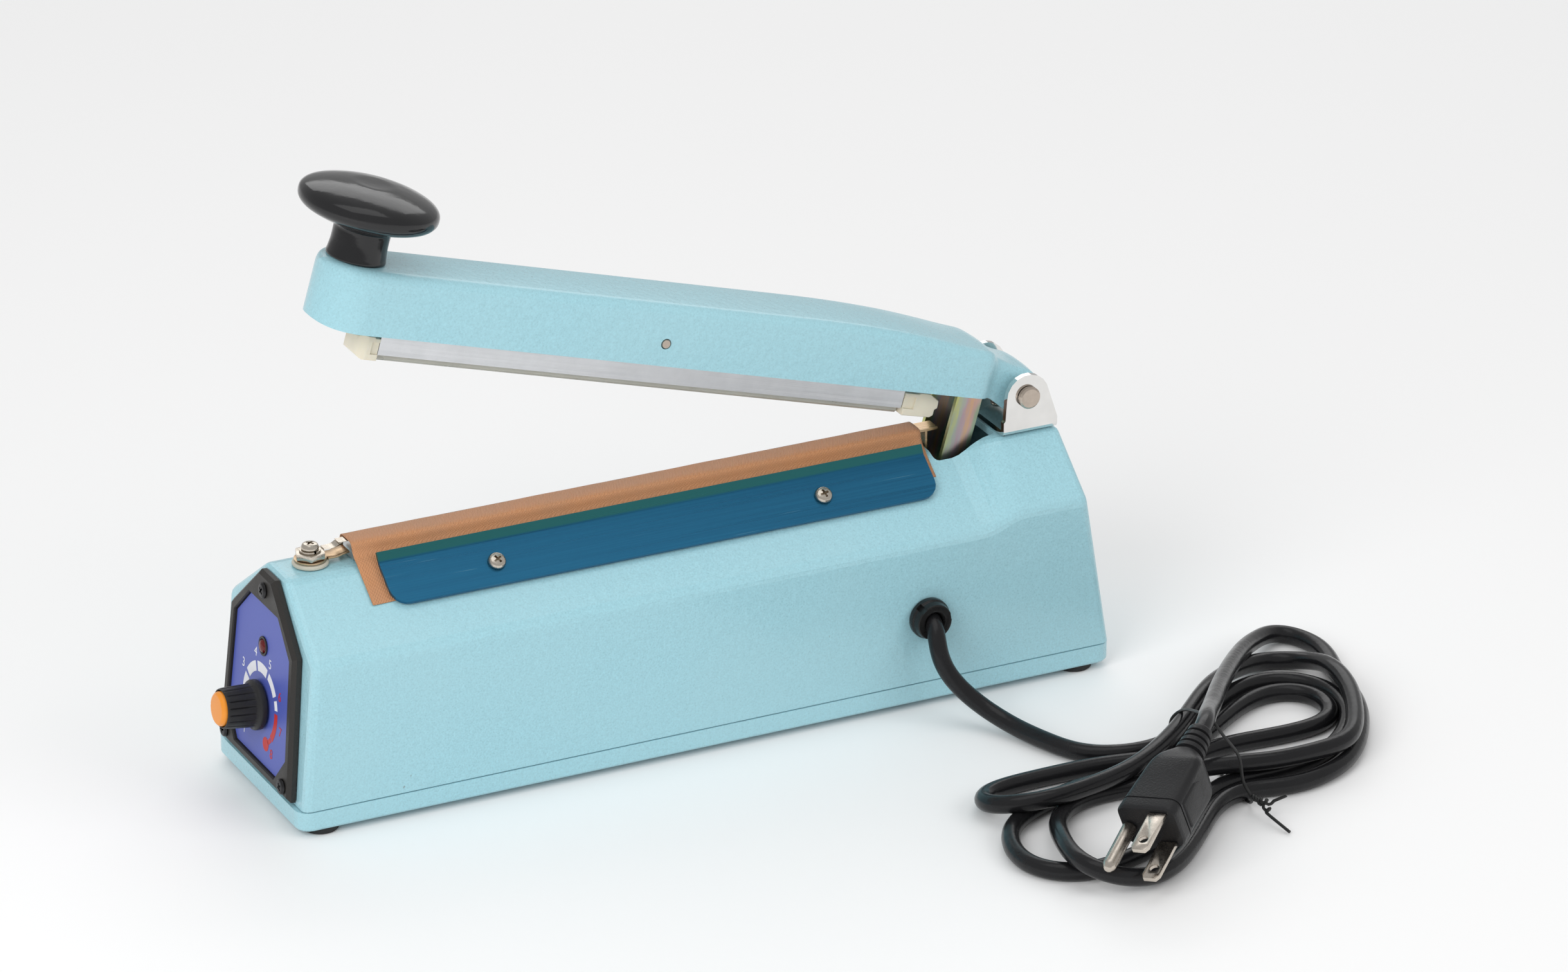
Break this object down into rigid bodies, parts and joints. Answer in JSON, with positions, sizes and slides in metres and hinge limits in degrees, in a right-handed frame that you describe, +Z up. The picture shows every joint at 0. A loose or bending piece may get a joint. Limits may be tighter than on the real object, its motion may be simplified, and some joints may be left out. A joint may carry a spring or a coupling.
{
  "type": "impulse heat sealer",
  "caption": "Hand-operated impulse heat sealer with a hinged sprung arm, mushroom press knob, rocking upper jaw, PTFE-covered lower jaw, timer dial and mains cord.",
  "frame": {"origin": "middle of the sealer without its cord, on the plane the rubber feet stand on", "axes": "+X along the length from the control panel to the hinge, +Z up, so the mains lead leaves the -Y side"},
  "size_m": [0.3854, 0.2333, 0.2121],
  "materials": {
    "paint": "hammertone sky-blue enamel",
    "black_plastic": "fine-grained black moulding",
    "gloss_black": "polished black phenolic",
    "label": "printed blue film",
    "orange_cap": "satin orange",
    "lamp": "translucent dark red",
    "chrome": "bright chrome plate",
    "nickel": "nickel-plated steel",
    "zinc": "iridescent yellow-passivated zinc",
    "copper": "tarnished copper strip",
    "aluminium": "extruded, mill finish",
    "anodised": "blue-green anodised, lightly scratched",
    "ptfe_cloth": "PTFE-coated glass cloth, fine diagonal weave",
    "silicone": "translucent pale silicone",
    "cream_plastic": "cream moulding",
    "rubber": "matt black rubber",
    "board": "green board",
    "laminations": "stacked steel laminations",
    "enamelled_wire": "enamelled copper winding",
    "cord": "glossy black PVC"
  },
  "bodies": {
    "base": {"base_plate": "paint", "base_screw_1": "nickel", "base_screw_2": "nickel", "base_screw_3": "nickel", "base_screw_4": "nickel", "bracket_screw_1": "nickel", "bracket_screw_2": "nickel", "cable_gland": "black_plastic", "clamp_plate_far": "anodised", "clamp_plate_near": "anodised", "clamp_screw_1": "nickel", "clamp_screw_2": "nickel", "clamp_screw_3": "nickel", "clamp_screw_4": "nickel", "cord_hank": "cord", "cord_lead": "cord", "element_lug": "copper", "element_strap": "copper", "heating_element": "nickel", "hinge_bracket": "chrome", "hinge_pin": "nickel", "housing": "paint", "indicator_lamp": "lamp", "lower_jaw_bar": "aluminium", "microswitch": "black_plastic", "panel_bezel": "black_plastic", "panel_plate": "label", "panel_screw_1": "black_plastic", "panel_screw_2": "black_plastic", "panel_screw_3": "black_plastic", "plug_blade_1": "nickel", "plug_blade_2": "nickel", "plug_body": "black_plastic", "plug_ground_pin": "nickel", "release_cloth": "ptfe_cloth", "return_spring": "nickel", "rubber_foot_1": "rubber", "rubber_foot_2": "rubber", "rubber_foot_3": "rubber", "rubber_foot_4": "rubber", "switch_bracket": "zinc", "terminal_insulator": "silicone", "terminal_nut": "nickel", "terminal_screw": "nickel", "timer_board": "board", "timer_pot": "aluminium", "transformer_core": "laminations", "transformer_winding": "enamelled_wire"},
    "arm": {"arm_shell": "paint", "press_knob": "gloss_black", "jaw_pin": "nickel", "lift_lever": "zinc"},
    "jaw": {"jaw_channel": "aluminium", "sealing_strip": "silicone", "jaw_clip_front": "cream_plastic", "jaw_clip_rear": "cream_plastic"},
    "timer_knob": {"timer_knob": "black_plastic", "timer_knob_cap": "orange_cap", "timer_shaft": "nickel"},
    "switch_plunger": {"switch_plunger": "cream_plastic"}
  },
  "joints": [
    {"name": "arm_hinge", "type": "hinge", "parent": "base", "child": "arm", "pos_m": [0.1332, 0, 0.0976], "axis": [0, -1, 0], "range_deg": [0, 14.14], "stiffness_Nm_per_rad": 4, "springref_deg": -20.05, "deforming": ["return_spring"]},
    {"name": "jaw_rock", "type": "hinge", "parent": "arm", "child": "jaw", "pos_m": [-0.00057, 0, 0.14079], "axis": [0, -1, 0], "range_deg": [0, 1.96]},
    {"name": "timer_turn", "type": "hinge", "parent": "base", "child": "timer_knob", "pos_m": [-0.14244, 0, 0.03396], "axis": [-0.996, 0, 0.0896], "range_deg": [-140, 140]},
    {"name": "switch_press", "type": "slide", "parent": "base", "child": "switch_plunger", "axis": [0, 0, -1], "range_m": [0, 0.0006], "stiffness_N_per_m": 350, "springref_m": -0.002}
  ],
  "couplings": [
    {"joint": "jaw_rock", "follows": "arm_hinge", "ratio": 0.13854}
  ]
}
